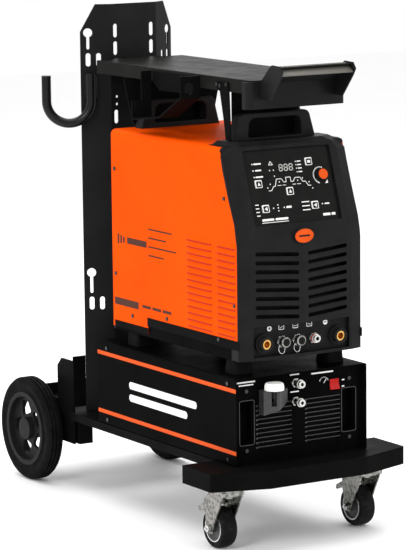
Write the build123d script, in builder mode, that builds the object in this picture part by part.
from build123d import *
import os
from math import cos, sin, tan, radians

# A liquid-cooled TIG welding set: power source on a cooling unit on a wheeled trolley.
# Millimetres, +X to the right, +Y to the rear, +Z up. Origin: floor level, centre of the outline.

# Common values
FRONT = -423.0  # Y of the plane across the front of both cases
STEEL = 3.0  # trolley sheet
SHELF_STEEL = 2.5  # shelf sheet
CASE_STEEL = 2.0  # case sheet
RUNNING = 0.05  # radial clearance of a shaft in its bore
GAP = 0.3  # clearance between pieces that move past each other
SIDES = ((-1, "left"), (1, "right"))

# Front deck and chassis
DECK_HALF = 230.0
DECK_NOSE_HALF = 114.0
DECK_BOTTOM = 131.0
DECK_TOP = 167.0
DECK_REAR = FRONT + 81
RAIL_X = 140.0
RAIL_WIDTH = 30.0
RAIL_HEIGHT = 17.0
RAIL_END = FRONT + 660
CROSS_REAR = FRONT + 632.7

# Casters: pivot on the deck, wheel trailing behind it
CASTER_X = 165.0
CASTER_Y = FRONT + 17
CASTER_TRAIL = 30.0
CASTER_WHEEL_RADIUS = 41.0
CASTER_WHEEL_WIDTH = 34.0
FORK_INNER = 21.0
FORK_OUTER = 24.0
FORK_TOP = 120.5
PEDAL_PIN_Y = CASTER_Y + 44
PEDAL_PIN_Z = 88.0
CASTER_BOLT_RADIUS = 5.0
KING_PIN_RADIUS = 6.0

# Rear wheels and their axle
WHEEL_Y = FRONT + 801
WHEEL_RADIUS = 112.0
WHEEL_INNER_X = 154.0
WHEEL_OUTER_X = 192.0
RIM_RADIUS = 80.0
AXLE_RADIUS = 10.0

# Bottle platform behind the column
CHEEK_X = 142.0
PLATFORM_TOP = 165.0
PLATFORM_REAR = FRONT + 872
SEAT_FRONT, SEAT_REAR = 715.0, 860.0  # raised bottle seat, as distances from the front plane
SEAT_HALF = 120.0
SEAT_HEIGHT = 1.5

# Column
WEB_HALF = 56.0
WEB_FRONT = FRONT + 635.7
WING_LENGTH = 64.3
WING_ANGLE = radians(29.4)
COLUMN_TOP = 1035.0

# Shelf
SHELF_HALF = 105.0
SHELF_TOP = 921.0
SHELF_SKIRT = 27.0
SHELF_FRONT = FRONT + 12.5
SHELF_REAR = FRONT + 610
APRON_HALF = 114.0

# Power source
CASE_HALF = 145.0
CASE_TOP = 790.0
CASE_REAR = FRONT + 487
CASE_EDGE_RADIUS = 12.0
PAN_BOTTOM = 374.0
PAN_TOP = 405.0
PAN_FRONT = FRONT + 36
PANEL_ANGLE = radians(17.8)
PANEL_ORIGIN = (0, FRONT + 8, 640)
PANEL_DEPTH = 6.0
INSERT_RADIUS = 10.0  # brass inserts of the welding sockets
BARREL_RADIUS = 8.0  # barrels of the control sockets
TAIL_RADIUS = 5.9  # ends that pass through the recess floor
STRAP = 1.6  # thickness of the cap straps
CROWN_TOP = 797.0  # top of the fascia, above the case
CROWN_REAR = 118.0  # distance of the crown's rear from the front plane
KNOB_PLACE = (73.3, 88.0)
BUTTON_PLACES = {
    "program_button": (-74.5, 81.0),
    "waveform_button": (-4.8, 62.0),
    "trigger_mode_button": (-67.9, 31.0),
    "purge_button": (47.6, 30.0),
    "parameter_button": (50.0, 117.8),
}
BUTTON_SIZE = 15.4
SOCKET_X = 87.0
SOCKET_Z = 405.5
RECESS_FLOOR = FRONT + 8
CONTROL_SOCKET_X = (-43.0, -7.0)
GAS_OUTLET_X = 30.7
FAN_Z = 590.0
SWITCH_PLACE = (-85.0, 700.0)

# Cooling unit
COOLER_HALF = 155.0
COOLER_BOTTOM = 167.0
COOLER_TOP = 342.0
COOLER_LENGTH = 539.0
COOLER_PANEL = FRONT + 15
COOLER_PANEL_THICK = 2.5
FILLER_X = -69.5
FILLER_Y = FRONT - 6
FILLER_TOP = 313.0
COUPLING_X = -8.0
ROCKER_X = 86.5
ROCKER_Z = 304.0
COOLER_FAN_Z = 255.0
COOLER_FAN_Y = FRONT + 443


def back(distance):
    """Y of a point this far behind the front plane."""
    return FRONT + distance


def facing(y):
    """Vertical plane across the object at y; local x is +X, local y is +Z, and it faces the front."""
    return Plane.XZ.offset(-y)


def profile(points):
    """Side view outline: pairs of distance behind the front plane and height."""
    return [(back(distance), height) for distance, height in points]


def block(low, high, mode=Mode.ADD):
    """Box between two corners."""
    centre = tuple((a + b) / 2 for a, b in zip(low, high))
    size = [b - a for a, b in zip(low, high)]
    with Locations(centre):
        Box(*size, mode=mode)


def side_plate(points, x_low, x_high, mode=Mode.ADD):
    """Plate across X with a side view outline."""
    with BuildSketch(Plane.YZ.offset(x_low)) as outline:
        Polygon(*profile(points), align=None)
    extrude(outline.sketch, amount=x_high - x_low, mode=mode)


def cross_bar(radius, y, z, x_low, x_high, mode=Mode.ADD):
    """Round bar along X."""
    with BuildSketch(Plane.YZ.offset(x_low)) as disc:
        with Locations((y, z)):
            Circle(radius)
    extrude(disc.sketch, amount=x_high - x_low, mode=mode)


def post(radius, x, y, z_low, z_high, mode=Mode.ADD):
    """Round bar along Z."""
    with BuildSketch(Plane.XY.offset(z_low)) as disc:
        with Locations((x, y)):
            Circle(radius)
    extrude(disc.sketch, amount=z_high - z_low, mode=mode)


def stub(radius, x, z, y_front, y_rear, mode=Mode.ADD):
    """Round bar along Y."""
    with BuildSketch(facing(y_rear)) as disc:
        with Locations((x, z)):
            Circle(radius)
    extrude(disc.sketch, amount=y_rear - y_front, mode=mode)


def between(side, inner, outer):
    """X range on one side of the middle, in rising order."""
    return sorted((side * inner, side * outer))


# Trolley frame -----------------------------------------------------------------------------------


def make_deck_beam():
    """Folded front beam, open at the rear, that carries the casters."""
    shoulder, nose, rear_lip = back(-24), back(-61), 10
    outline = [
        (-DECK_HALF, DECK_REAR),
        (-DECK_HALF, shoulder),
        (-DECK_NOSE_HALF, nose),
        (DECK_NOSE_HALF, nose),
        (DECK_HALF, shoulder),
        (DECK_HALF, DECK_REAR),
    ]
    with BuildPart() as deck_beam:
        with BuildSketch(Plane.XY.offset(DECK_BOTTOM)):
            Polygon(*outline, align=None)
        extrude(amount=DECK_TOP - DECK_BOTTOM)
        fillet(deck_beam.edges().filter_by(Axis.Z).group_by(Axis.Y)[:2], 5)
        with BuildSketch(Plane.XY.offset(DECK_BOTTOM + STEEL)):
            Polygon(*outline, align=None)
            offset(amount=-STEEL)
            with Locations((0, DECK_REAR)):
                Rectangle(2 * (DECK_HALF - STEEL), rear_lip)
        extrude(amount=DECK_TOP - DECK_BOTTOM - 2 * STEEL, mode=Mode.SUBTRACT)
    return deck_beam.part


def make_chassis_frame():
    """Two rails and two cross members, welded, under the cooling unit."""
    rail_bottom = DECK_TOP - RAIL_HEIGHT
    tube_wall, cross_depth = 2.0, 33.0
    with BuildPart() as chassis_frame:
        for side in (-1, 1):
            low, high = between(side, RAIL_X - RAIL_WIDTH / 2, RAIL_X + RAIL_WIDTH / 2)
            block((low, DECK_REAR, rail_bottom), (high, RAIL_END, DECK_TOP))
        for rear in (CROSS_REAR, back(330)):
            block((-RAIL_X, rear - cross_depth, rail_bottom), (RAIL_X, rear, DECK_TOP))
        for side in (-1, 1):
            low, high = between(side, RAIL_X - RAIL_WIDTH / 2, RAIL_X + RAIL_WIDTH / 2)
            block(
                (low + tube_wall, DECK_REAR, rail_bottom + tube_wall),
                (high - tube_wall, RAIL_END, DECK_TOP - tube_wall),
                mode=Mode.SUBTRACT,
            )
    return chassis_frame.part


def make_bottle_platform():
    """Rear platform for a gas bottle, with cheeks that hold the axle and flanges to the column."""
    front, step = CROSS_REAR, RAIL_END + 0.2
    narrow = RAIL_X - RAIL_WIDTH / 2 - 0.5
    wide = CHEEK_X - STEEL
    floor_outline = [
        (-narrow, front),
        (narrow, front),
        (narrow, step),
        (wide, step),
        (wide, PLATFORM_REAR),
        (-wide, PLATFORM_REAR),
        (-wide, step),
        (-narrow, step),
    ]
    cheek = [(667.3, 94), (826, 94), (826, 140), (790, 184), (738, 184), (738, 257), (720, 275), (667.3, 275)]
    flange_inner = 112.1
    lip_height = 25.0
    with BuildPart() as bottle_platform:
        with BuildSketch(Plane.XY.offset(PLATFORM_TOP - STEEL)):
            Polygon(*floor_outline, align=None)
        extrude(amount=STEEL)
        with BuildSketch(Plane.XY.offset(PLATFORM_TOP)):
            with Locations((0, back((SEAT_FRONT + SEAT_REAR) / 2))):
                RectangleRounded(2 * SEAT_HALF, SEAT_REAR - SEAT_FRONT, 12)
        extrude(amount=SEAT_HEIGHT)
        block((-wide, PLATFORM_REAR - STEEL, PLATFORM_TOP), (wide, PLATFORM_REAR, PLATFORM_TOP + lip_height))
        for side in (-1, 1):
            side_plate(cheek, *between(side, wide, CHEEK_X))
            low, high = between(side, flange_inner, CHEEK_X)
            block((low, back(667.3), 175), (high, back(667.3) + STEEL, 285))
            low, high = between(side, 101, 133)
            block((low, step, 94), (high, back(716), PLATFORM_TOP - STEEL))
            block((low + STEEL, step + STEEL, 90), (high - STEEL, back(720), PLATFORM_TOP - STEEL), mode=Mode.SUBTRACT)
        cross_bar(AXLE_RADIUS, WHEEL_Y, WHEEL_RADIUS, -CHEEK_X, CHEEK_X, mode=Mode.SUBTRACT)
    return bottle_platform.part


def wing_plane(side, lift=0.0):
    """Front face of a column wing: local x runs out from the fold and local y runs up."""
    outward = Vector(side * cos(WING_ANGLE), sin(WING_ANGLE), 0)
    normal = Vector(sin(WING_ANGLE), -side * cos(WING_ANGLE), 0)
    fold = Vector(side * WEB_HALF, WEB_FRONT, 0)
    return Plane(origin=fold + normal * lift, x_dir=outward, z_dir=normal)


def upright_slots(places, width, length, through):
    """Vertical slots cut both ways through the sheet at the current sketch plane."""
    with BuildSketch(through) as slots:
        with Locations(*places):
            SlotOverall(length, width, rotation=90)
    extrude(slots.sketch, amount=2 * STEEL, both=True, mode=Mode.SUBTRACT)


def make_column():
    """Folded upright: a flat web with two wings bent back, pierced with slots and keyholes."""
    outer, inner = 47.9, 25.8  # distances of the wing slots from the fold
    fold_in = STEEL * tan(WING_ANGLE / 2)
    tip = (WEB_HALF + WING_LENGTH * cos(WING_ANGLE), WEB_FRONT + WING_LENGTH * sin(WING_ANGLE))
    tip_back = (tip[0] - STEEL * sin(WING_ANGLE), tip[1] + STEEL * cos(WING_ANGLE))
    right_half = [(0, WEB_FRONT), (WEB_HALF, WEB_FRONT), tip, tip_back, (WEB_HALF - fold_in, WEB_FRONT + STEEL)]
    section = right_half + [(-x, y) for x, y in reversed(right_half[1:])]
    top_cut = [(26.4, COLUMN_TOP + 10), (69.9, 967), (80, COLUMN_TOP + 10)]
    web = Plane.XZ.offset(-WEB_FRONT)
    with BuildPart() as column:
        with BuildSketch(Plane.XY.offset(PLATFORM_TOP)):
            Polygon(*section, align=None)
        extrude(amount=COLUMN_TOP - PLATFORM_TOP)
        for side in (-1, 1):
            with BuildSketch(wing_plane(side)):
                Polygon(*top_cut, align=None)
                for hole_z, slot_bottom in ((975, 940), (464, 420)):
                    with Locations((outer, hole_z)):
                        Circle(9.5)
                    with Locations((outer, (hole_z + slot_bottom) / 2)):
                        SlotOverall(hole_z - slot_bottom, 6, rotation=90)
            extrude(amount=2 * STEEL, both=True, mode=Mode.SUBTRACT)
            upright_slots([(s, z) for s in (outer, inner) for z in (918, 398)], 10, 28, wing_plane(side))
        upright_slots([(x, z) for x in (-44, 44) for z in (978.5, 941.5, 796.5)], 10, 29, web)
        with BuildSketch(web):
            with Locations(*[(x, z) for x in (-42, 42) for z in (839, 823)]):
                Circle(2.75)
        extrude(amount=2 * STEEL, both=True, mode=Mode.SUBTRACT)
    return column.part


def make_cable_hook():
    """Bent tube on a small plate in front of the left wing."""
    tube_radius, shank, bend_radius = 10.0, 42.3, 47.2
    standoff = 12.0  # tube centre in front of the wing
    bend_z, shank_top, tip_z = 833.0, 890.0, 887.0
    with BuildPart() as cable_hook:
        with BuildLine(wing_plane(-1, -standoff)) as route:
            Line((shank, shank_top), (shank, bend_z))
            CenterArc((shank + bend_radius, bend_z), bend_radius, 180, 180)
            Line((shank + 2 * bend_radius, bend_z), (shank + 2 * bend_radius, tip_z))
        with BuildSketch(Plane(origin=route.line @ 0, z_dir=route.line % 0)):
            Circle(tube_radius)
        sweep(path=route.line)
        with BuildSketch(wing_plane(-1)):
            with Locations((shank, (shank_top + bend_z) / 2)):
                RectangleRounded(26, 48, 4)
        extrude(amount=-(standoff - tube_radius + 2))
    return cable_hook.part


# Shelf -------------------------------------------------------------------------------------------


def make_top_shelf():
    """Shallow inverted tray with a tongue that reaches the column."""
    corner = 12.0
    middle_y = (SHELF_FRONT + SHELF_REAR) / 2
    length = SHELF_REAR - SHELF_FRONT
    tongue_y = (SHELF_REAR + WEB_FRONT) / 2
    tongue = WEB_FRONT - SHELF_REAR
    with BuildPart() as top_shelf:
        with BuildSketch(Plane.XY.offset(SHELF_TOP - SHELF_SKIRT)):
            with Locations((0, middle_y)):
                Rectangle(2 * SHELF_HALF, length)
            with Locations((0, tongue_y)):
                Rectangle(2 * WEB_HALF, tongue)
        extrude(amount=SHELF_SKIRT)
        front_corners = top_shelf.edges().filter_by(Axis.Z).group_by(Axis.Y)[0]
        fillet(front_corners, corner)
        with BuildSketch(Plane.XY.offset(SHELF_TOP - SHELF_SKIRT)):
            with Locations((0, middle_y)):
                Rectangle(2 * (SHELF_HALF - SHELF_STEEL), length - 2 * SHELF_STEEL)
            with Locations((0, tongue_y - SHELF_STEEL)):
                Rectangle(2 * (WEB_HALF - SHELF_STEEL), tongue + 2 * SHELF_STEEL)
        extrude(amount=SHELF_SKIRT - SHELF_STEEL, mode=Mode.SUBTRACT)
        block(
            (-WEB_HALF, WEB_FRONT - SHELF_STEEL, SHELF_TOP - SHELF_SKIRT),
            (WEB_HALF, WEB_FRONT, SHELF_TOP - SHELF_STEEL),
        )
        fillet(top_shelf.edges().group_by(Axis.Z)[-1], 1.5)
    return top_shelf.part


def make_shelf_apron():
    """Deep band around the front of the shelf, with short side returns."""
    corner, bottom, top, return_end = 12.0, 865.0, 918.0, back(33)
    front = SHELF_FRONT - SHELF_STEEL
    with BuildPart() as shelf_apron:
        with BuildSketch(Plane.XY.offset(bottom)):
            with Locations((0, (front + return_end) / 2)):
                Rectangle(2 * APRON_HALF, return_end - front)
        extrude(amount=top - bottom)
        fillet(shelf_apron.edges().filter_by(Axis.Z).group_by(Axis.Y)[0], corner)
        with BuildSketch(Plane.XY.offset(bottom)):
            with Locations((0, (front + return_end) / 2 + SHELF_STEEL)):
                inner = Rectangle(2 * (APRON_HALF - SHELF_STEEL), return_end - front)
            fillet(inner.vertices().group_by(Axis.Y)[0], corner - SHELF_STEEL)
        extrude(amount=top - bottom, mode=Mode.SUBTRACT)
    return shelf_apron.part


def make_document_rest():
    """Sloping front plate held between two ears on the apron."""
    ear = [(10, 918), (10, 884), (-22, 884), (-58, 926), (-67, 940), (-58, 952), (-30, 953), (-22, 948)]
    plate = [(10, 914.5), (10, 917), (-50, 950), (-52, 947.6)]
    ear_x = 84.5
    with BuildPart() as document_rest:
        side_plate(plate, -ear_x, ear_x)
        for side in (-1, 1):
            side_plate(ear, *between(side, ear_x - SHELF_STEEL / 2, ear_x + SHELF_STEEL / 2))
    return document_rest.part


def make_shelf_hangers():
    """Left blade and two transverse plates that hang from the shelf, in front of and behind the case."""
    blade = [(92, 912), (136, 912), (136, 899), (123, 893), (108, 830), (102.8, 798), (86.3, 798), (87.5, 830)]
    plate_bottom, plate_top, skirt_gap = 799.0, SHELF_TOP - SHELF_STEEL, 892.0
    front_half, inner_half = 80.0, SHELF_HALF - SHELF_STEEL - 0.5
    rear_plate = [(97, plate_bottom), (118, skirt_gap), (inner_half, skirt_gap), (inner_half, plate_top)]
    with BuildPart() as shelf_hangers:
        side_plate(blade, -SHELF_HALF - STEEL, -SHELF_HALF)
        block((-front_half, back(122), plate_bottom), (front_half, back(122) + STEEL, plate_top))
        with BuildSketch(facing(back(479))):
            Polygon(*rear_plate, *[(-x, z) for x, z in reversed(rear_plate)], align=None)
        extrude(amount=STEEL)
    return shelf_hangers.part


def make_cable_cradle():
    """Bent band on the left skirt of the shelf: a rear arm, a saddle and a front arm with an arched hole."""
    inner_x, outer_x, strip_x = -SHELF_HALF, -SHELF_HALF - 46, -SHELF_HALF - 23
    band = [
        (203, 918),
        (203, 876),
        (286, 832),
        (386, 820),
        (389, 823),
        (389, 915),
        (392, 915),
        (392, 817),
        (284, 829),
        (200, 874),
        (200, 918),
    ]
    arm_top, block_top = 918.0, 855.0
    hole_x, hole_z, hole_radius = -132.0, 893.0, 9.5
    with BuildPart() as cable_cradle:
        side_plate(band, outer_x, inner_x)
        block((outer_x, back(380), block_top), (strip_x, back(400), arm_top), mode=Mode.SUBTRACT)
        with BuildSketch(facing(back(210))):
            with Locations((hole_x, hole_z)):
                SlotCenterToCenter(6, 2 * hole_radius, rotation=90)
        extrude(amount=20, mode=Mode.SUBTRACT)
        side_plate([(203, 915), (203, 879), (352, 877), (376, 892), (376, 915)], inner_x - STEEL, inner_x)
    return cable_cradle.part


# Rear wheels -------------------------------------------------------------------------------------


def make_rear_axle():
    """Axle with a collar inside each wheel."""
    collar_radius = 15.0
    with BuildPart() as rear_axle:
        cross_bar(AXLE_RADIUS, WHEEL_Y, WHEEL_RADIUS, -WHEEL_OUTER_X + 6, WHEEL_OUTER_X - 6)
        for side in (-1, 1):
            low, high = between(side, CHEEK_X, WHEEL_INNER_X - GAP)
            cross_bar(collar_radius, WHEEL_Y, WHEEL_RADIUS, low, high)
    return rear_axle.part


def make_rear_tyre(side):
    """Solid rubber tyre with three grooves around the tread."""
    low, high = between(side, WHEEL_INNER_X, WHEEL_OUTER_X)
    groove_depth, groove_width, edge_radius = 4.0, 3.0, 7.0
    middle = (low + high) / 2
    with BuildPart() as rear_tyre:
        cross_bar(WHEEL_RADIUS, WHEEL_Y, WHEEL_RADIUS, low, high)
        fillet(rear_tyre.edges(), edge_radius)
        cross_bar(RIM_RADIUS, WHEEL_Y, WHEEL_RADIUS, low, high, mode=Mode.SUBTRACT)
        for groove in (-9, 0, 9):
            with BuildSketch(Plane.YZ.offset(middle + groove - groove_width / 2)):
                with Locations((WHEEL_Y, WHEEL_RADIUS)):
                    Circle(WHEEL_RADIUS + 1)
                    Circle(WHEEL_RADIUS - groove_depth, mode=Mode.SUBTRACT)
            extrude(amount=groove_width, mode=Mode.SUBTRACT)
    return rear_tyre.part


def make_rear_rim(side):
    """Moulded rim with five windows and a closed hub cap."""
    hub_radius, web_thick, well_radius = 24.0, 7.0, 70.0
    window_middle, windows = 47.0, 5
    low, high = between(side, WHEEL_INNER_X, WHEEL_OUTER_X)
    outer_face = side * WHEEL_OUTER_X
    web_low, web_high = between(side, WHEEL_OUTER_X - 20, WHEEL_OUTER_X - 20 + web_thick)
    with BuildPart() as rear_rim:
        cross_bar(RIM_RADIUS, WHEEL_Y, WHEEL_RADIUS, low, high)
        for well_low, well_high in ((low, web_low), (web_high, high)):
            with BuildSketch(Plane.YZ.offset(well_low)):
                with Locations((WHEEL_Y, WHEEL_RADIUS)):
                    Circle(well_radius)
                    Circle(hub_radius, mode=Mode.SUBTRACT)
            extrude(amount=well_high - well_low, mode=Mode.SUBTRACT)
        window_plane = Plane(origin=(web_low, WHEEL_Y, WHEEL_RADIUS), x_dir=(0, 1, 0), z_dir=(1, 0, 0))
        with BuildSketch(window_plane) as window_sketch:
            with PolarLocations(window_middle, windows):
                Trapezoid(40, 32, 105, rotation=90)
            fillet(window_sketch.vertices(), 5)
        extrude(amount=web_thick, mode=Mode.SUBTRACT)
        bore_end = outer_face - side * 5
        cross_bar(AXLE_RADIUS + RUNNING, WHEEL_Y, WHEEL_RADIUS, *sorted((side * WHEEL_INNER_X, bore_end)),
                  mode=Mode.SUBTRACT)
    return rear_rim.part


# Casters -----------------------------------------------------------------------------------------


def make_caster_plate(side):
    """Top plate with the upper ball race and the king pin."""
    x = side * CASTER_X
    race_radius, plate_half = 27.0, 34.0
    plate_bottom = DECK_BOTTOM - 4
    race_bottom = FORK_TOP + 0.5
    with BuildPart() as caster_plate:
        with BuildSketch(Plane.XY.offset(plate_bottom)):
            with Locations((x, CASTER_Y)):
                RectangleRounded(2 * plate_half, 2 * plate_half, 6)
        extrude(amount=DECK_BOTTOM - plate_bottom)
        post(race_radius, x, CASTER_Y, race_bottom, plate_bottom)
        post(KING_PIN_RADIUS, x, CASTER_Y, 107, race_bottom)
        post(11, x, CASTER_Y, 105, 111.5)
    return caster_plate.part


def make_caster_fork(side):
    """Swivelling fork: dished crown, two tapered legs, axle bolt and pedal pin."""
    x = side * CASTER_X
    wheel_y = CASTER_Y + CASTER_TRAIL
    crown_bottom = 112.0
    start = CASTER_Y - FRONT
    leg = [
        (start - 22, FORK_TOP),
        (start + 26, FORK_TOP),
        (start + 51, 95),
        (start + 51, 82),
        (start + CASTER_TRAIL + 13, 46),
        (start + CASTER_TRAIL + 9, 31),
        (start + CASTER_TRAIL - 9, 31),
        (start + CASTER_TRAIL - 13, 46),
    ]
    with BuildPart() as caster_fork:
        post(26, x, CASTER_Y, crown_bottom, FORK_TOP)
        block((x - FORK_OUTER, CASTER_Y - 22, crown_bottom), (x + FORK_OUTER, CASTER_Y + 22, FORK_TOP))
        for leg_side in (-1, 1):
            low, high = between(leg_side, FORK_INNER, FORK_OUTER)
            side_plate(leg, x + low, x + high)
        cross_bar(CASTER_BOLT_RADIUS, wheel_y, CASTER_WHEEL_RADIUS, x - FORK_OUTER, x + FORK_OUTER)
        for head in (-FORK_OUTER - 4, FORK_OUTER):
            cross_bar(8, wheel_y, CASTER_WHEEL_RADIUS, x + head, x + head + 4)
        cross_bar(3, PEDAL_PIN_Y, PEDAL_PIN_Z, x - FORK_INNER, x + FORK_INNER)
        post(KING_PIN_RADIUS + RUNNING, x, CASTER_Y, crown_bottom, FORK_TOP, mode=Mode.SUBTRACT)
    return caster_fork.part


def make_caster_wheel(side):
    """Rubber-tyred wheel with a dished hub and a crowned tread."""
    x = side * CASTER_X
    wheel_y = CASTER_Y + CASTER_TRAIL
    half = CASTER_WHEEL_WIDTH / 2
    hub_half = FORK_INNER - 0.5
    with BuildPart() as caster_wheel:
        cross_bar(CASTER_WHEEL_RADIUS, wheel_y, CASTER_WHEEL_RADIUS, x - half, x + half)
        fillet(caster_wheel.edges(), 5)
        for low in (x - half, x + half - 5):
            with BuildSketch(Plane.YZ.offset(low)):
                with Locations((wheel_y, CASTER_WHEEL_RADIUS)):
                    Circle(27)
                    Circle(14, mode=Mode.SUBTRACT)
            extrude(amount=5, mode=Mode.SUBTRACT)
        cross_bar(9, wheel_y, CASTER_WHEEL_RADIUS, x - hub_half, x + hub_half)
        cross_bar(CASTER_BOLT_RADIUS + RUNNING, wheel_y, CASTER_WHEEL_RADIUS, x - hub_half, x + hub_half,
                  mode=Mode.SUBTRACT)
    return caster_wheel.part


def make_brake_pedal(side):
    """Foot lever on the fork's pin, behind and above the wheel."""
    x = side * CASTER_X
    pin = PEDAL_PIN_Y - FRONT
    lever = [
        (pin - 5, 91),
        (pin + 3, 94),
        (pin + 38, 76),
        (pin + 40, 68),
        (pin + 34, 67),
        (pin, 83),
        (pin - 5, 84),
    ]
    with BuildPart() as brake_pedal:
        side_plate(lever, x - 17, x + 17)
        fillet(brake_pedal.edges().filter_by(Axis.X), 1.5)
        cross_bar(3 + RUNNING, PEDAL_PIN_Y, PEDAL_PIN_Z, x - 17, x + 17, mode=Mode.SUBTRACT)
    return brake_pedal.part


# Power source: case ------------------------------------------------------------------------------


def make_case_cover():
    """Bent sheet cover: two louvred sides and a top, with its front edge following the fascia."""
    tab_bottom, cover_bottom = 380.0, 397.0
    front_cut = [
        (8.6, 370),
        (8.6, 600),
        (12, 615),
        (17, 643.5),
        (37.7, 690),
        (58.5, 746.6),
        (68.6, 789),
        (68.6, 800),
        (-20, 800),
        (-20, 370),
    ]
    crown_half, crown_rear, crown_bottom = 135.0, CROWN_REAR + 0.5, 786.0
    louvre_rows, louvre_pitch, louvre_start, louvre_height = 14, 13.3, 427.0, 4.0
    columns = ((10, 80), (100, 193))
    with BuildPart() as case_cover:
        with BuildSketch(facing(CASE_REAR)) as section:
            with Locations((0, (tab_bottom + CASE_TOP) / 2)):
                Rectangle(2 * CASE_HALF, CASE_TOP - tab_bottom)
            fillet(section.vertices().group_by(Axis.Y)[-1], CASE_EDGE_RADIUS)
        extrude(amount=CASE_REAR - FRONT)
        with BuildSketch(facing(CASE_REAR)) as inside:
            with Locations((0, (tab_bottom + CASE_TOP) / 2 - CASE_STEEL)):
                Rectangle(2 * (CASE_HALF - CASE_STEEL), CASE_TOP - tab_bottom)
            fillet(inside.vertices().group_by(Axis.Y)[-1], CASE_EDGE_RADIUS - CASE_STEEL)
        extrude(amount=CASE_REAR - FRONT, mode=Mode.SUBTRACT)
        side_plate(front_cut, -CASE_HALF - 1, CASE_HALF + 1, mode=Mode.SUBTRACT)
        block((-crown_half, FRONT, crown_bottom), (crown_half, back(crown_rear), CASE_TOP + 1), mode=Mode.SUBTRACT)
        block((-CASE_HALF - 1, FRONT - 1, 370), (CASE_HALF + 1, back(348), cover_bottom), mode=Mode.SUBTRACT)
        with BuildSketch(Plane.YZ.offset(-CASE_HALF - 1)):
            for near, far in columns:
                middle = back((max(near, 14) + far) / 2)
                rows = [(middle, louvre_start + row * louvre_pitch) for row in range(louvre_rows)]
                with Locations(*rows):
                    SlotOverall(far - max(near, 14), louvre_height)
        extrude(amount=2 * CASE_HALF + 2, mode=Mode.SUBTRACT)
    return case_cover.part


def make_case_base():
    """Open tray under the power source."""
    wall = CASE_STEEL
    half = CASE_HALF - CASE_STEEL
    pan_rear = CASE_REAR - 4
    with BuildPart() as case_base:
        block((-half, PAN_FRONT, PAN_BOTTOM), (half, pan_rear, PAN_TOP))
        block(
            (-half + wall, PAN_FRONT + wall, PAN_BOTTOM + wall),
            (half - wall, pan_rear - wall, PAN_TOP + 1),
            mode=Mode.SUBTRACT,
        )
    return case_base.part


def make_machine_feet():
    """Four tapered rubber feet between the two cases."""
    with BuildPart() as machine_feet:
        with BuildSketch(Plane.XY.offset(COOLER_TOP)):
            with Locations(*[(x, back(y)) for x in (-108, 108) for y in (62, 440)]):
                RectangleRounded(44, 44, 8)
        extrude(amount=PAN_BOTTOM - COOLER_TOP, taper=6)
    return machine_feet.part


def fascia_section(height, nose, shoulder, edge, half, rim_rear, rear, step=3.0):
    """Plan outline of the fascia at one height, with a rim as wide as the cover and a narrower spigot."""
    right = [
        (half - 26, back(shoulder)),
        (half, back(edge)),
        (half, back(rim_rear)),
        (half - step, back(rim_rear)),
        (half - step, back(rear)),
    ]
    outline = [(-x, y) for x, y in reversed(right)] + [(0, back(nose))] + right
    return Plane.XY.offset(height), outline


def loft_sections(sections, mode=Mode.ADD):
    """Straight loft through plan outlines."""
    faces = []
    for plane, outline in sections:
        with BuildSketch(plane) as section:
            Polygon(*outline, align=None)
        faces.append(section.sketch.face())
    loft(faces, ruled=True, mode=mode)


def panel_plane(lift=0.0):
    """Slanted plane of the control panel: local x along +X, local y up the slope."""
    normal = Vector(0, -cos(PANEL_ANGLE), sin(PANEL_ANGLE))
    return Plane(origin=Vector(*PANEL_ORIGIN) + normal * lift, x_dir=(1, 0, 0), z_dir=normal)


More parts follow.
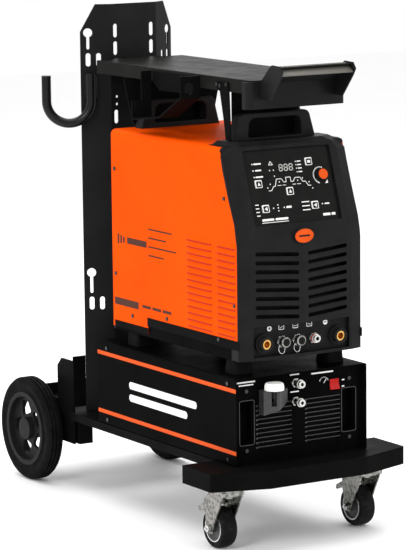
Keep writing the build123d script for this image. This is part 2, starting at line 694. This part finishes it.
def make_front_fascia():
    """Moulded front: ridged and louvred below, slanted with a panel window above."""
    wall, frame_wall = 3.0, 9.5
    levels = [
        (PAN_BOTTOM, -9, 0, 6, CASE_HALF, 8.2, 36),
        (600, -9, 0, 6, CASE_HALF, 8.2, 36),
        (614, -8, 0, 8, CASE_HALF, 11.2, 38),
        (640, 7.7, 8, 14, CASE_HALF, 15.8, 44),
        (690, 23.8, 24, 33, CASE_HALF, 37, 61),
        (746.6, 42, 42.2, 53, CASE_HALF, 58, 80),
        (772, 50.1, 50.4, 61, CASE_HALF, 64, 88),
        (CASE_TOP - CASE_STEEL, 55.5, 55.7, 70, 134.5, 72, CROWN_REAR, 0.3),
        (CROWN_TOP, 63, 63.3, 82, 119, 84, CROWN_REAR, 0.3),
    ]
    hollow_levels = [
        (PAN_BOTTOM + wall, -6, 3, 9, CASE_HALF - 3, 11, 50),
        (600, -6, 3, 9, CASE_HALF - 3, 11, 50),
        (632, 14.4, 14.6, 19, CASE_HALF - 3, 21, 55),
        (762, 56.4, 56.7, 66, CASE_HALF - 3, 68, 100),
        (779, 62, 62.2, 72, CASE_HALF - 9, 74, CROWN_REAR + 15),
    ]
    louvre_rows, louvre_pitch, louvre_top, louvre_tilt = 8, 17.6, 581.0, 4.2
    badge_height = 613.5
    recess = (-113, back(-20), 380), (113, RECESS_FLOOR, 440)
    with BuildPart() as fascia_hollow:
        loft_sections([fascia_section(*level) for level in hollow_levels])
        block((-116, back(-20), PAN_BOTTOM), (116, RECESS_FLOOR + wall, 443), mode=Mode.SUBTRACT)
    with BuildPart() as front_fascia:
        loft_sections([fascia_section(*level) for level in levels])
        add(fascia_hollow.part, mode=Mode.SUBTRACT)
        block(*recess, mode=Mode.SUBTRACT)
        with BuildSketch(panel_plane(-20)):
            with Locations((0, 72.5)):
                RectangleRounded(205, 151, 5)
        extrude(amount=40, mode=Mode.SUBTRACT)
        with BuildSketch(facing(back(20))):
            for row in range(louvre_rows):
                height = louvre_top - row * louvre_pitch
                with Locations((59, height)):
                    SlotOverall(98, 8, rotation=louvre_tilt)
                with Locations((-59, height)):
                    SlotOverall(98, 8, rotation=-louvre_tilt)
        extrude(amount=40, mode=Mode.SUBTRACT)
        with BuildSketch(facing(back(-8))):
            with Locations((0, badge_height)):
                Ellipse(24, 16)
        extrude(amount=2.5)
        for x in (-SOCKET_X, SOCKET_X):
            stub(INSERT_RADIUS + 2, x, SOCKET_Z, back(0), RECESS_FLOOR + wall + 1, mode=Mode.SUBTRACT)
        for x in (*CONTROL_SOCKET_X, GAS_OUTLET_X):
            stub(TAIL_RADIUS + 0.1, x, SOCKET_Z, back(0), RECESS_FLOOR + wall + 1, mode=Mode.SUBTRACT)
    return front_fascia.part


def make_carry_handles():
    """Two moulded arches, one on the fascia's crown and one at the rear of the case."""
    top, depth = 849.0, 28.0
    opening = [(-62, 801), (62, 801), (60, 838), (-60, 838)]
    with BuildPart() as carry_handles:
        for base, y_rear in ((CROWN_TOP, back(CROWN_REAR)), (CASE_TOP, back(474))):
            outer = [(-95, base), (95, base), (80, top), (-80, top)]
            with BuildSketch(facing(y_rear)) as arch:
                Polygon(*outer, align=None)
                fillet(arch.vertices().group_by(Axis.Y)[-1], 14)
                with BuildSketch(facing(y_rear), mode=Mode.SUBTRACT) as gap:
                    Polygon(*opening, align=None)
                    fillet(gap.vertices().group_by(Axis.Y)[-1], 14)
                    fillet(gap.vertices().group_by(Axis.Y)[0], 4)
            extrude(amount=depth)
            rim = carry_handles.edges(Select.LAST).filter_by(lambda edge: edge.center().Z > base + 1)
            fillet(rim.filter_by(lambda edge: edge.bounding_box().size.Y < 1), 3)
    return carry_handles.part


def make_rear_panel():
    """Rear plate with a fan guard, motor boss and shaft, and the mains switch seat."""
    thick = 4.0
    half, top = CASE_HALF - CASE_STEEL, CASE_TOP - CASE_STEEL
    front = CASE_REAR - thick
    guard_radius, spoke = 62.0, 5.0
    boss_front, shaft_front = CASE_REAR - 28, CASE_REAR - 60
    with BuildPart() as rear_panel:
        with BuildSketch(facing(CASE_REAR)) as outline:
            with Locations((0, (PAN_BOTTOM + top) / 2)):
                Rectangle(2 * half, top - PAN_BOTTOM)
            fillet(outline.vertices().group_by(Axis.Y)[-1], CASE_EDGE_RADIUS - CASE_STEEL)
            with Locations((0, FAN_Z)):
                Circle(guard_radius, mode=Mode.SUBTRACT)
                for ring in (52, 40, 28):
                    Circle(ring)
                    Circle(ring - spoke, mode=Mode.SUBTRACT)
                Rectangle(2 * guard_radius, spoke)
                Rectangle(spoke, 2 * guard_radius)
                Circle(20)
        extrude(amount=thick)
        stub(18, 0, FAN_Z, boss_front, front)
        stub(4, 0, FAN_Z, shaft_front, boss_front)
        with BuildSketch(facing(CASE_REAR)):
            with Locations(SWITCH_PLACE):
                RectangleRounded(44, 44, 5)
        extrude(amount=-2)
        stub(4 + RUNNING, *SWITCH_PLACE, front, CASE_REAR + 2, mode=Mode.SUBTRACT)
        with BuildSketch(facing(CASE_REAR)):
            with Locations((-60, 440), (70, 440)):
                Circle(11)
        extrude(amount=-14)
    return rear_panel.part


# Power source: controls --------------------------------------------------------------------------


def make_control_panel():
    """Flat panel with the button holes and the knob's bore."""
    thick, display_depth = 3.0, 1.0
    hole = BUTTON_SIZE + 2 * GAP
    with BuildPart() as control_panel:
        with BuildSketch(panel_plane(-PANEL_DEPTH)):
            with Locations((0, 72.5)):
                RectangleRounded(205, 151, 5)
            with Locations(*BUTTON_PLACES.values()):
                RectangleRounded(hole, hole, 2, mode=Mode.SUBTRACT)
            with Locations(KNOB_PLACE):
                Circle(3 + RUNNING, mode=Mode.SUBTRACT)
        extrude(amount=-thick)
        with BuildSketch(panel_plane(-PANEL_DEPTH)):
            with Locations((-3.75, 110)):
                Rectangle(38, 19)
        extrude(amount=-display_depth, mode=Mode.SUBTRACT)
    return control_panel.part


def make_button(place):
    """Square push button with a retaining flange behind the panel."""
    face, panel_back = -3.5, -PANEL_DEPTH - 3
    with BuildPart() as button:
        with BuildSketch(panel_plane(panel_back - GAP)):
            with Locations(place):
                RectangleRounded(BUTTON_SIZE, BUTTON_SIZE, 1.7)
        extrude(amount=face - panel_back + GAP)
        fillet(button.faces().sort_by(SortBy.DISTANCE).edges().group_by(Axis.Z)[-1], 0.5)
        with BuildSketch(panel_plane(panel_back - GAP)):
            with Locations(place):
                RectangleRounded(BUTTON_SIZE + 3, BUTTON_SIZE + 3, 2)
        extrude(amount=-1.5)
    return button.part


def make_encoder_knob():
    """Fluted round knob on a shaft through the panel."""
    radius, foot, face = 12.0, -PANEL_DEPTH + GAP, 6.0
    flutes, flute_radius = 18, 1.1
    with BuildPart() as encoder_knob:
        with BuildSketch(panel_plane(foot)):
            with Locations(KNOB_PLACE):
                Circle(radius)
                with PolarLocations(radius + 0.4, flutes):
                    Circle(flute_radius, mode=Mode.SUBTRACT)
        extrude(amount=face - foot, taper=3)
        with BuildSketch(panel_plane(-PANEL_DEPTH - 8)):
            with Locations(KNOB_PLACE):
                Circle(3)
        extrude(amount=8 + GAP)
    return encoder_knob.part


def make_weld_sockets():
    """Two insulated socket bodies with a raised collar."""
    flange_radius, collar_radius = 19.5, 15.0
    flange_face, collar_face = RECESS_FLOOR - 6, RECESS_FLOOR - 18
    with BuildPart() as weld_sockets:
        for x in (-SOCKET_X, SOCKET_X):
            stub(flange_radius, x, SOCKET_Z, flange_face, RECESS_FLOOR)
            stub(collar_radius, x, SOCKET_Z, collar_face, flange_face)
            stub(INSERT_RADIUS, x, SOCKET_Z, collar_face - 1, RECESS_FLOOR + 1, mode=Mode.SUBTRACT)
    return weld_sockets.part


def make_socket_inserts():
    """Brass inserts with a 13 mm bore, and a stud behind for the welding current."""
    plug_radius, stud_radius = 6.5, 5.0
    front, bore_end, rear, stud_end = (RECESS_FLOOR + step for step in (-16, 8, 12, 26))
    with BuildPart() as socket_inserts:
        for x in (-SOCKET_X, SOCKET_X):
            stub(INSERT_RADIUS, x, SOCKET_Z, front, rear)
            stub(plug_radius, x, SOCKET_Z, front - 1, bore_end, mode=Mode.SUBTRACT)
            stub(stud_radius, x, SOCKET_Z, rear, stud_end)
    return socket_inserts.part


def make_control_sockets():
    """Two barrels with hexagon nuts on the recess floor."""
    nut_radius, nut = 12.0, 3.0
    barrel, tail = 14.0, 14.0
    with BuildPart() as control_sockets:
        for x in CONTROL_SOCKET_X:
            with BuildSketch(facing(RECESS_FLOOR)):
                with Locations((x, SOCKET_Z)):
                    RegularPolygon(nut_radius, 6)
            extrude(amount=nut)
            stub(BARREL_RADIUS, x, SOCKET_Z, RECESS_FLOOR - barrel, RECESS_FLOOR - nut)
            stub(TAIL_RADIUS, x, SOCKET_Z, RECESS_FLOOR, RECESS_FLOOR + tail)
    return control_sockets.part


def make_control_cap(x):
    """Knurled screw cap over a control socket."""
    radius, depth, grooves, groove_radius = 11.0, 14.0, 20, 0.9
    cap_rear = RECESS_FLOOR - 3 - STRAP - GAP
    with BuildPart() as control_cap:
        with BuildSketch(facing(cap_rear)):
            with Locations((x, SOCKET_Z)):
                Circle(radius)
                with PolarLocations(radius + 0.3, grooves):
                    Circle(groove_radius, mode=Mode.SUBTRACT)
        extrude(amount=depth)
        stub(BARREL_RADIUS + RUNNING, x, SOCKET_Z, RECESS_FLOOR - 15, cap_rear, mode=Mode.SUBTRACT)
    return control_cap.part


def make_cap_straps():
    """Moulded loops that hang from a ring at the foot of each control socket."""
    ring_radius, ring_bore = 11.5, 8.2
    loop_radius, loop_x, loop_z = 7.0, 5.0, 388.5
    with BuildPart() as cap_straps:
        for x in CONTROL_SOCKET_X:
            with BuildSketch(facing(RECESS_FLOOR - 3)):
                with Locations((x, SOCKET_Z)):
                    Circle(ring_radius)
                with Locations((x + loop_x, loop_z)):
                    Circle(loop_radius)
                    Circle(loop_radius - STRAP, mode=Mode.SUBTRACT)
                with Locations((x, SOCKET_Z)):
                    Circle(ring_bore, mode=Mode.SUBTRACT)
            extrude(amount=STRAP)
    return cap_straps.part


def make_gas_outlet():
    """Turned gas fitting with a hexagon, a collar and a bore."""
    hexagon_radius, hexagon, body_radius, collar_radius, bore_radius = 11.0, 5.0, 7.5, 9.0, 4.0
    tip, collar_front, collar_rear = RECESS_FLOOR - 18, RECESS_FLOOR - 12, RECESS_FLOOR - 8
    bore_end, tail_end = RECESS_FLOOR + 6, RECESS_FLOOR + 16
    with BuildPart() as gas_outlet:
        with BuildSketch(facing(RECESS_FLOOR)):
            with Locations((GAS_OUTLET_X, SOCKET_Z)):
                RegularPolygon(hexagon_radius, 6)
        extrude(amount=hexagon)
        stub(body_radius, GAS_OUTLET_X, SOCKET_Z, tip, RECESS_FLOOR - hexagon)
        stub(collar_radius, GAS_OUTLET_X, SOCKET_Z, collar_front, collar_rear)
        stub(TAIL_RADIUS, GAS_OUTLET_X, SOCKET_Z, RECESS_FLOOR, tail_end)
        stub(bore_radius, GAS_OUTLET_X, SOCKET_Z, tip - 1, bore_end, mode=Mode.SUBTRACT)
    return gas_outlet.part


def make_mains_switch_knob():
    """Rotary switch knob on the rear panel."""
    seat = CASE_REAR + 2
    with BuildPart() as mains_switch_knob:
        with BuildSketch(facing(seat + GAP)):
            with Locations(SWITCH_PLACE):
                Circle(15)
        extrude(amount=-4)
        with BuildSketch(facing(seat + GAP + 4)):
            with Locations(SWITCH_PLACE):
                SlotOverall(28, 9, rotation=90)
        extrude(amount=-11)
        stub(4, *SWITCH_PLACE, seat - 10, seat + GAP)
    return mains_switch_knob.part


# Power source: inside ----------------------------------------------------------------------------


def make_heatsink():
    """Finned aluminium block on the floor of the pan."""
    floor = PAN_BOTTOM + CASE_STEEL
    fins, fin_pitch, fin_gap = 12, 8.0, 5.0
    low_x = -124.0
    with BuildPart() as heatsink:
        block((low_x, back(150), floor), (low_x + fins * fin_pitch, back(400), floor + 70))
        for fin in range(fins - 1):
            start = low_x + 3 + fin * fin_pitch
            block((start, back(149), floor + 12), (start + fin_gap, back(401), floor + 71), mode=Mode.SUBTRACT)
    return heatsink.part


def make_power_board():
    """Circuit board on the heatsink with capacitors and a choke."""
    floor = PAN_BOTTOM + CASE_STEEL + 70
    with BuildPart() as power_board:
        block((-126, back(140), floor), (-26, back(410), floor + 2))
        with BuildSketch(Plane.XY.offset(floor + 2)):
            with Locations(*[(-100 + 40 * column, back(175 + 42 * row)) for column in (0, 1) for row in range(4)]):
                Circle(16)
        extrude(amount=46)
        block((-112, back(348), floor + 2), (-44, back(400), floor + 40))
    return power_board.part


def make_transformer():
    """Laminated core with two windings."""
    floor = PAN_BOTTOM + CASE_STEEL
    with BuildPart() as transformer:
        block((10, back(230), floor), (130, back(300), floor + 110))
        for x in (42, 98):
            with BuildSketch(Plane.XY.offset(floor + 22)):
                with Locations((x, back(265))):
                    RectangleRounded(50, 104, 16)
            extrude(amount=66)
    return transformer.part


def make_fan_rotor(x, z, y_front, hub_length, tip_radius, blades):
    """Hub with pitched flat blades, turning about Y."""
    hub_radius, blade_thick, blade_width, blade_pitch = 19.0, 2.0, 24.0, radians(32)
    middle = y_front + hub_length / 2
    blade_inner = hub_radius - 2
    with BuildPart() as fan_rotor:
        stub(hub_radius, x, z, y_front, y_front + hub_length)
        for blade in range(blades):
            turn = radians(360 * blade / blades)
            outward = Vector(cos(turn), 0, sin(turn))
            around = Vector(-sin(turn), 0, cos(turn))
            chord = around * cos(blade_pitch) + Vector(0, sin(blade_pitch), 0)
            root = Vector(x, middle, z) + outward * blade_inner
            with BuildSketch(Plane(origin=root, x_dir=chord, z_dir=outward)):
                Rectangle(blade_width, blade_thick)
            extrude(amount=tip_radius - blade_inner)
        stub(4 + RUNNING, x, z, y_front, y_front + hub_length, mode=Mode.SUBTRACT)
    return fan_rotor.part


# Cooling unit ------------------------------------------------------------------------------------


def make_cooler_case():
    """Bent sheet sleeve around the cooling unit."""
    height = COOLER_TOP - COOLER_BOTTOM
    with BuildPart() as cooler_case:
        with BuildSketch(facing(back(COOLER_LENGTH))):
            with Locations((0, COOLER_BOTTOM + height / 2)):
                RectangleRounded(2 * COOLER_HALF, height, 4)
                inner_height = height - 2 * CASE_STEEL
                RectangleRounded(2 * (COOLER_HALF - CASE_STEEL), inner_height, 2, mode=Mode.SUBTRACT)
        extrude(amount=COOLER_LENGTH)
    return cooler_case.part


def make_cooler_base():
    """Inner tray with the slotted rear wall."""
    floor = COOLER_BOTTOM + CASE_STEEL
    half = COOLER_HALF - 2 * CASE_STEEL
    top = COOLER_TOP - CASE_STEEL - GAP
    rear = back(COOLER_LENGTH)
    front = COOLER_PANEL + COOLER_PANEL_THICK
    with BuildPart() as cooler_base:
        block((-half, front, floor), (half, rear, floor + CASE_STEEL))
        block((-half, rear - CASE_STEEL, floor), (half, rear, top))
        with BuildSketch(facing(rear)):
            with Locations(*[(x, COOLER_FAN_Z) for x in range(-98, 99, 14)]):
                SlotOverall(110, 7, rotation=90)
        extrude(amount=2 * CASE_STEEL, mode=Mode.SUBTRACT)
    return cooler_base.part


def make_cooler_front():
    """Front panel with louvres, two grip pockets and the rocker's bezel."""
    half, bottom = COOLER_HALF - CASE_STEEL - 0.2, COOLER_BOTTOM + CASE_STEEL + 0.2
    top = COOLER_TOP - CASE_STEEL - 0.2
    rear = COOLER_PANEL + COOLER_PANEL_THICK
    grip_x, grip_z, grip_width, grip_height, grip_depth = 121.0, 249.5, 32.0, 87.0, 25.0
    louvre_rows, louvre_pitch, louvre_top = 10, 9.27, 279.0
    with BuildPart() as cooler_front:
        with BuildSketch(facing(rear)):
            with Locations((0, (bottom + top) / 2)):
                RectangleRounded(2 * half, top - bottom, 3)
        extrude(amount=COOLER_PANEL_THICK)
        with BuildSketch(facing(rear + grip_depth)):
            with Locations((-grip_x, grip_z), (grip_x, grip_z)):
                RectangleRounded(grip_width + 4, grip_height + 4, 7)
        extrude(amount=grip_depth)
        with BuildSketch(facing(rear + grip_depth - CASE_STEEL)):
            with Locations((-grip_x, grip_z), (grip_x, grip_z)):
                RectangleRounded(grip_width, grip_height, 5)
        extrude(amount=grip_depth + COOLER_PANEL_THICK, mode=Mode.SUBTRACT)
        with BuildSketch(facing(COOLER_PANEL)):
            with Locations((ROCKER_X, ROCKER_Z)):
                RectangleRounded(28, 29, 3)
        extrude(amount=2)
        with BuildSketch(facing(rear + 1)):
            with Locations((ROCKER_X, ROCKER_Z)):
                Rectangle(23, 24)
            for row in range(louvre_rows):
                height = louvre_top - row * louvre_pitch
                with Locations((58, height)):
                    SlotOverall(82, 4.4)
                if height < 258:
                    with Locations((-58, height)):
                        SlotOverall(82, 4.4)
            with Locations((FILLER_X, 290)):
                Circle(8)
            with Locations((COUPLING_X, 281), (COUPLING_X, 318)):
                Circle(5)
        extrude(amount=8, mode=Mode.SUBTRACT)
        stub(4, 29, 315, COOLER_PANEL - 3, COOLER_PANEL)
    return cooler_front.part


def make_filler_housing():
    """Prow-shaped filler body with an oblique underside, a neck on top and a bore to the tank."""
    bottom, neck_top = 262.0, FILLER_TOP + 10
    prow = [(-92, back(15)), (-92, back(-2)), (-67, back(-20)), (-36, back(-2)), (-36, back(15))]
    underside = [(-93, bottom - 1), (-93, bottom + 1), (-35, bottom + 24), (-35, bottom - 1)]
    with BuildPart() as filler_housing:
        with BuildSketch(Plane.XY.offset(bottom)):
            Polygon(*prow, align=None)
        extrude(amount=FILLER_TOP - bottom)
        with BuildSketch(facing(back(16))):
            Polygon(*underside, align=None)
        extrude(amount=40, mode=Mode.SUBTRACT)
        post(15, FILLER_X, FILLER_Y, FILLER_TOP, neck_top)
        post(11, FILLER_X, FILLER_Y, 282, neck_top, mode=Mode.SUBTRACT)
        stub(6, FILLER_X, 290, FILLER_Y, COOLER_PANEL, mode=Mode.SUBTRACT)
    return filler_housing.part


def make_filler_cap():
    """Ribbed quarter-turn cap over the filler neck."""
    bottom, top = FILLER_TOP + GAP, FILLER_TOP + 14.5
    with BuildPart() as filler_cap:
        with BuildSketch(Plane.XY.offset(bottom)):
            with Locations((FILLER_X, FILLER_Y)):
                Circle(19.5)
                with PolarLocations(19.8, 24):
                    Circle(1.1, mode=Mode.SUBTRACT)
        extrude(amount=top - bottom)
        fillet(filler_cap.faces().sort_by(Axis.Z)[-1].edges(), 0.8)
        post(15 + RUNNING, FILLER_X, FILLER_Y, bottom, FILLER_TOP + 10 + GAP, mode=Mode.SUBTRACT)
    return filler_cap.part


def make_coolant_couplings():
    """Two quick couplings, flow and return, one above the other."""
    with BuildPart() as coolant_couplings:
        for height in (281, 318):
            with BuildSketch(facing(COOLER_PANEL)):
                with Locations((COUPLING_X, height)):
                    RegularPolygon(9.5, 6)
            extrude(amount=5)
            stub(7.5, COUPLING_X, height, COOLER_PANEL - 28, COOLER_PANEL - 5)
            stub(9, COUPLING_X, height, COOLER_PANEL - 22, COOLER_PANEL - 14)
            stub(4.9, COUPLING_X, height, COOLER_PANEL, COOLER_PANEL + 14)
            stub(3.5, COUPLING_X, height, COOLER_PANEL - 29, COOLER_PANEL + 8, mode=Mode.SUBTRACT)
    return coolant_couplings.part


def make_rocker_switch():
    """Rocker with a shallow V face, stored with its top edge pressed in."""
    tilt, width = radians(-11), 22.4
    pivot_y = COOLER_PANEL + 2
    face = [(8, -8), (-5, -10.6), (-3, 0), (-5, 10.6), (8, 8)]
    turned = []
    for forward, up in face:
        y = pivot_y + forward * cos(tilt) - up * sin(tilt)
        z = ROCKER_Z + forward * sin(tilt) + up * cos(tilt)
        turned.append((y, z))
    with BuildPart() as rocker_switch:
        with BuildSketch(Plane.YZ.offset(ROCKER_X - width / 2)):
            Polygon(*turned, align=None)
        extrude(amount=width)
        cross_bar(1.5, pivot_y, ROCKER_Z, ROCKER_X - width, ROCKER_X + width, mode=Mode.SUBTRACT)
    return rocker_switch.part


def make_coolant_tank():
    """Moulded tank behind the panel, with its filler pipe."""
    floor, wall = COOLER_BOTTOM + 2 * CASE_STEEL, 3.0
    low, high = (-146, back(48), floor), (-8, back(300), 305)
    with BuildPart() as coolant_tank:
        block(low, high)
        fillet(coolant_tank.edges(), 6)
        stub(8, FILLER_X, 290, COOLER_PANEL + COOLER_PANEL_THICK, back(50))
        inner_low = [value + wall for value in low]
        inner_high = [value - wall for value in high]
        block(inner_low, inner_high, mode=Mode.SUBTRACT)
        stub(6, FILLER_X, 290, COOLER_PANEL, back(60), mode=Mode.SUBTRACT)
    return coolant_tank.part


def make_pump():
    """Pump head and motor on a foot plate."""
    floor = COOLER_BOTTOM + 2 * CASE_STEEL
    with BuildPart() as pump:
        block((20, back(90), floor), (120, back(260), floor + 6))
        block((45, back(120), floor + 6), (95, back(240), floor + 20))
        stub(38, 70, floor + 50, back(120), back(255))
        stub(30, 70, floor + 50, back(90), back(120))
        stub(7, 70, floor + 62, back(70), back(90))
    return pump.part


def make_radiator():
    """Finned radiator with a bar and shaft that carry the fan."""
    floor, top = COOLER_BOTTOM + 2 * CASE_STEEL, 336.0
    front, rear = back(478), back(525)
    with BuildPart() as radiator:
        block((-140, front, floor), (140, rear, top))
        with BuildSketch(facing(rear + 1)):
            with Locations(*[(x, COOLER_FAN_Z) for x in range(-120, 121, 8)]):
                Rectangle(4.5, 140)
        extrude(amount=60, mode=Mode.SUBTRACT)
        block((-140, front - 6, COOLER_FAN_Z - 8), (140, front, COOLER_FAN_Z + 8))
        stub(18, 0, COOLER_FAN_Z, front - 8, front - 6)
        stub(4, 0, COOLER_FAN_Z, COOLER_FAN_Y, front - 8)
    return radiator.part


# Fasteners ---------------------------------------------------------------------------------------


def side_heads(places, face_x, radius, height):
    """Screw heads on both sides of a case."""
    for side in (-1, 1):
        low, high = between(side, face_x, face_x + height)
        for distance, z in places:
            cross_bar(radius, back(distance), z, low, high)


def make_panel_screws():
    """Pan heads of the case screws and the nuts under the deck."""
    case_places = [(474, 709), (474, 491), (52, 691), (18, 483), (408, 410), (272, 423), (76, 410)]
    strut_places = [(121, 904), (98, 908), (133, 906)]
    cooler_places = [(-122, 193.6), (122, 193.6), (-122, 313), (122, 313)]
    with BuildPart() as panel_screws:
        side_heads(case_places, CASE_HALF, 4.0, 2.0)
        side_heads([(30, 330), (500, 330), (30, 178), (500, 178)], COOLER_HALF, 4.0, 2.0)
        for distance, z in strut_places:
            cross_bar(3.5, back(distance), z, -SHELF_HALF - STEEL - 2, -SHELF_HALF - STEEL)
        with BuildSketch(facing(COOLER_PANEL)):
            with Locations(*cooler_places):
                Circle(4)
        extrude(amount=2)
        with BuildSketch(Plane.XY.offset(DECK_BOTTOM)):
            with Locations(*[(side * x, back(y)) for side in (-1, 1) for x in (118, 126) for y in (0, 60)]):
                RegularPolygon(5, 6)
        extrude(amount=-6)
    return panel_screws.part


# Export ------------------------------------------------------------------------------------------

pieces = {
    "deck_beam": make_deck_beam(),
    "chassis_frame": make_chassis_frame(),
    "bottle_platform": make_bottle_platform(),
    "column": make_column(),
    "cable_hook": make_cable_hook(),
    "top_shelf": make_top_shelf(),
    "shelf_apron": make_shelf_apron(),
    "document_rest": make_document_rest(),
    "shelf_hangers": make_shelf_hangers(),
    "cable_cradle": make_cable_cradle(),
    "rear_axle": make_rear_axle(),
    "case_cover": make_case_cover(),
    "case_base": make_case_base(),
    "machine_feet": make_machine_feet(),
    "front_fascia": make_front_fascia(),
    "carry_handles": make_carry_handles(),
    "rear_panel": make_rear_panel(),
    "control_panel": make_control_panel(),
    "encoder_knob": make_encoder_knob(),
    "weld_sockets": make_weld_sockets(),
    "socket_inserts": make_socket_inserts(),
    "control_sockets": make_control_sockets(),
    "cap_straps": make_cap_straps(),
    "gas_outlet": make_gas_outlet(),
    "mains_switch_knob": make_mains_switch_knob(),
    "heatsink": make_heatsink(),
    "power_board": make_power_board(),
    "transformer": make_transformer(),
    "fan_rotor": make_fan_rotor(0, FAN_Z, CASE_REAR - 56, 26, 57, 7),
    "cooler_case": make_cooler_case(),
    "cooler_base": make_cooler_base(),
    "cooler_front": make_cooler_front(),
    "filler_housing": make_filler_housing(),
    "filler_cap": make_filler_cap(),
    "coolant_couplings": make_coolant_couplings(),
    "rocker_switch": make_rocker_switch(),
    "coolant_tank": make_coolant_tank(),
    "pump": make_pump(),
    "radiator": make_radiator(),
    "cooler_fan_rotor": make_fan_rotor(0, COOLER_FAN_Z, COOLER_FAN_Y, 22, 66, 9),
    "panel_screws": make_panel_screws(),
}
for name, place in BUTTON_PLACES.items():
    pieces[name] = make_button(place)
for socket_x, (side, word) in zip(CONTROL_SOCKET_X, SIDES):
    pieces[f"control_cap_{word}"] = make_control_cap(socket_x)
for side, word in SIDES:
    pieces[f"rear_tyre_{word}"] = make_rear_tyre(side)
    pieces[f"rear_rim_{word}"] = make_rear_rim(side)
    pieces[f"caster_plate_{word}"] = make_caster_plate(side)
    pieces[f"caster_fork_{word}"] = make_caster_fork(side)
    pieces[f"caster_wheel_{word}"] = make_caster_wheel(side)
    pieces[f"brake_pedal_{word}"] = make_brake_pedal(side)

os.makedirs("parts", exist_ok=True)
for name, piece in pieces.items():
    piece.label = name
    export_step(piece, f"parts/{name}.step")
